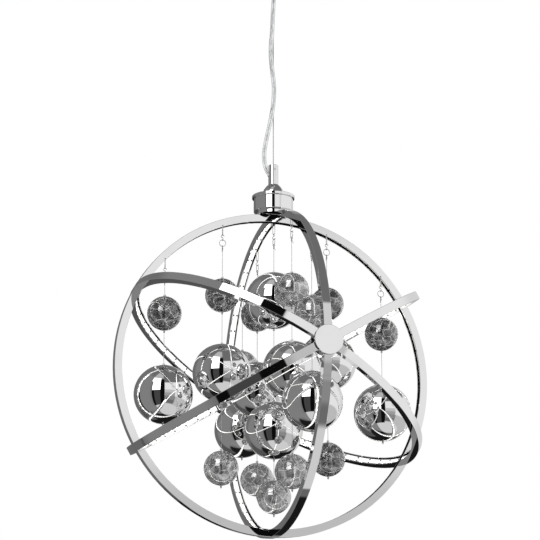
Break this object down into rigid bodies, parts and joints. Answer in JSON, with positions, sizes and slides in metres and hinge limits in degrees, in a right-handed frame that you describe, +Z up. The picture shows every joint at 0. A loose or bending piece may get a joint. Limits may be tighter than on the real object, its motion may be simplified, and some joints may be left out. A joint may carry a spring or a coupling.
{
  "type": "orb chandelier",
  "caption": "Hanging orb of crossed chromed light bands with mirrored and smoked glass balls on wires inside, hung from a ceiling cup by a wire and a clear flex.",
  "frame": {"origin": "centre of the bracket's top face, on the ceiling", "axes": "+Z up, -Y towards the front hub, the level band in the XZ plane"},
  "size_m": [0.4799, 0.4864, 0.8999],
  "materials": {
    "chrome": "polished chrome plate",
    "zinc_steel": "bright zinc plate",
    "steel_wire": "bright drawn wire",
    "light_strip": "white light strip",
    "mirror_glass": "silvered blown glass",
    "small_glass": "clear and smoked blown glass",
    "clear_flex": "clear sheath over bright cores",
    "clear_bush": "pale soft bush",
    "white_plastic": "moulded white"
  },
  "bodies": {
    "ceiling_cup": {"ceiling_bracket": "zinc_steel", "canopy_cup": "chrome", "canopy_screws": "chrome", "wire_grip": "chrome", "grip_nut": "zinc_steel", "flex_grommet": "clear_bush", "led_driver": "white_plastic", "terminal_block": "white_plastic"},
    "wire_head": {"wire_ball_head": "zinc_steel"},
    "orb": {"suspension_wire": "steel_wire", "clear_flex": "clear_flex", "tube_coupler": "chrome", "coupler_grub_screw": "zinc_steel", "cap_dome": "chrome", "threaded_nipple": "zinc_steel", "nipple_nut": "zinc_steel", "cap_lid": "chrome", "cap_cup": "chrome", "cap_base": "chrome", "base_screws": "zinc_steel", "lead_connector": "white_plastic", "level_band": "chrome", "top_half_band": "chrome", "upper_right_half_band": "chrome", "lower_right_half_band": "chrome", "bottom_half_band": "chrome", "lower_left_half_band": "chrome", "upper_left_half_band": "chrome", "level_light_strip": "light_strip", "half_band_light_strips": "light_strip", "hub_covers": "chrome", "hub_plates": "chrome", "hub_screws": "zinc_steel"},
    "left_end_strand": {"left_end_hanger": "steel_wire", "left_end_mirror_balls": "mirror_glass", "left_end_small_balls": "small_glass"},
    "left_strand": {"left_hanger": "steel_wire", "left_mirror_balls": "mirror_glass", "left_small_balls": "small_glass"},
    "right_strand": {"right_hanger": "steel_wire", "right_mirror_balls": "mirror_glass", "right_small_balls": "small_glass"},
    "right_end_strand": {"right_end_hanger": "steel_wire", "right_end_mirror_balls": "mirror_glass", "right_end_small_balls": "small_glass"},
    "centre_strand": {"centre_hanger": "steel_wire", "centre_mirror_balls": "mirror_glass", "centre_small_balls": "small_glass"},
    "rear_strand": {"rear_hanger": "steel_wire", "rear_mirror_balls": "mirror_glass", "rear_small_balls": "small_glass"},
    "far_rear_strand": {"far_rear_hanger": "steel_wire", "far_rear_mirror_balls": "mirror_glass", "far_rear_small_balls": "small_glass"},
    "front_strand": {"front_hanger": "steel_wire", "front_mirror_balls": "mirror_glass", "front_small_balls": "small_glass"},
    "far_front_strand": {"far_front_hanger": "steel_wire", "far_front_mirror_balls": "mirror_glass", "far_front_small_balls": "small_glass"}
  },
  "joints": [
    {"name": "orb_sway_front_back", "type": "hinge", "parent": "ceiling_cup", "child": "wire_head", "pos_m": [0, 0, -0.047], "axis": [1, 0, 0], "range_deg": [-4, 4]},
    {"name": "orb_sway_sideways", "type": "hinge", "parent": "wire_head", "child": "orb", "pos_m": [0, 0, -0.047], "axis": [0, 1, 0], "range_deg": [-4, 4]},
    {"name": "left_end_swing", "type": "hinge", "parent": "orb", "child": "left_end_strand", "pos_m": [-0.1675, -0.0053, -0.50151], "axis": [1, 0, 0], "range_deg": [-5, 5]},
    {"name": "left_swing", "type": "hinge", "parent": "orb", "child": "left_strand", "pos_m": [-0.0805, -0.0053, -0.44391], "axis": [1, 0, 0], "range_deg": [-3.5, 3.5]},
    {"name": "right_swing", "type": "hinge", "parent": "orb", "child": "right_strand", "pos_m": [0.082, -0.0053, -0.44447], "axis": [1, 0, 0], "range_deg": [-3.5, 3.5]},
    {"name": "right_end_swing", "type": "hinge", "parent": "orb", "child": "right_end_strand", "pos_m": [0.168, -0.0053, -0.50204], "axis": [1, 0, 0], "range_deg": [-5, 5]},
    {"name": "centre_swing", "type": "hinge", "parent": "orb", "child": "centre_strand", "pos_m": [0.0053, 0.014, -0.42983], "axis": [0, 1, 0], "range_deg": [-3.5, 3.5]},
    {"name": "rear_swing", "type": "hinge", "parent": "orb", "child": "rear_strand", "pos_m": [0.0053, 0.0954, -0.45006], "axis": [0, 1, 0], "range_deg": [-4, 4]},
    {"name": "far_rear_swing", "type": "hinge", "parent": "orb", "child": "far_rear_strand", "pos_m": [0.0053, 0.172, -0.5064], "axis": [0, 1, 0], "range_deg": [-5, 5]},
    {"name": "front_swing", "type": "hinge", "parent": "orb", "child": "front_strand", "pos_m": [0.0053, -0.0695, -0.44012], "axis": [0, 1, 0], "range_deg": [-3.5, 3.5]},
    {"name": "far_front_swing", "type": "hinge", "parent": "orb", "child": "far_front_strand", "pos_m": [0.0053, -0.157, -0.4911], "axis": [0, 1, 0], "range_deg": [-5, 5]}
  ]
}
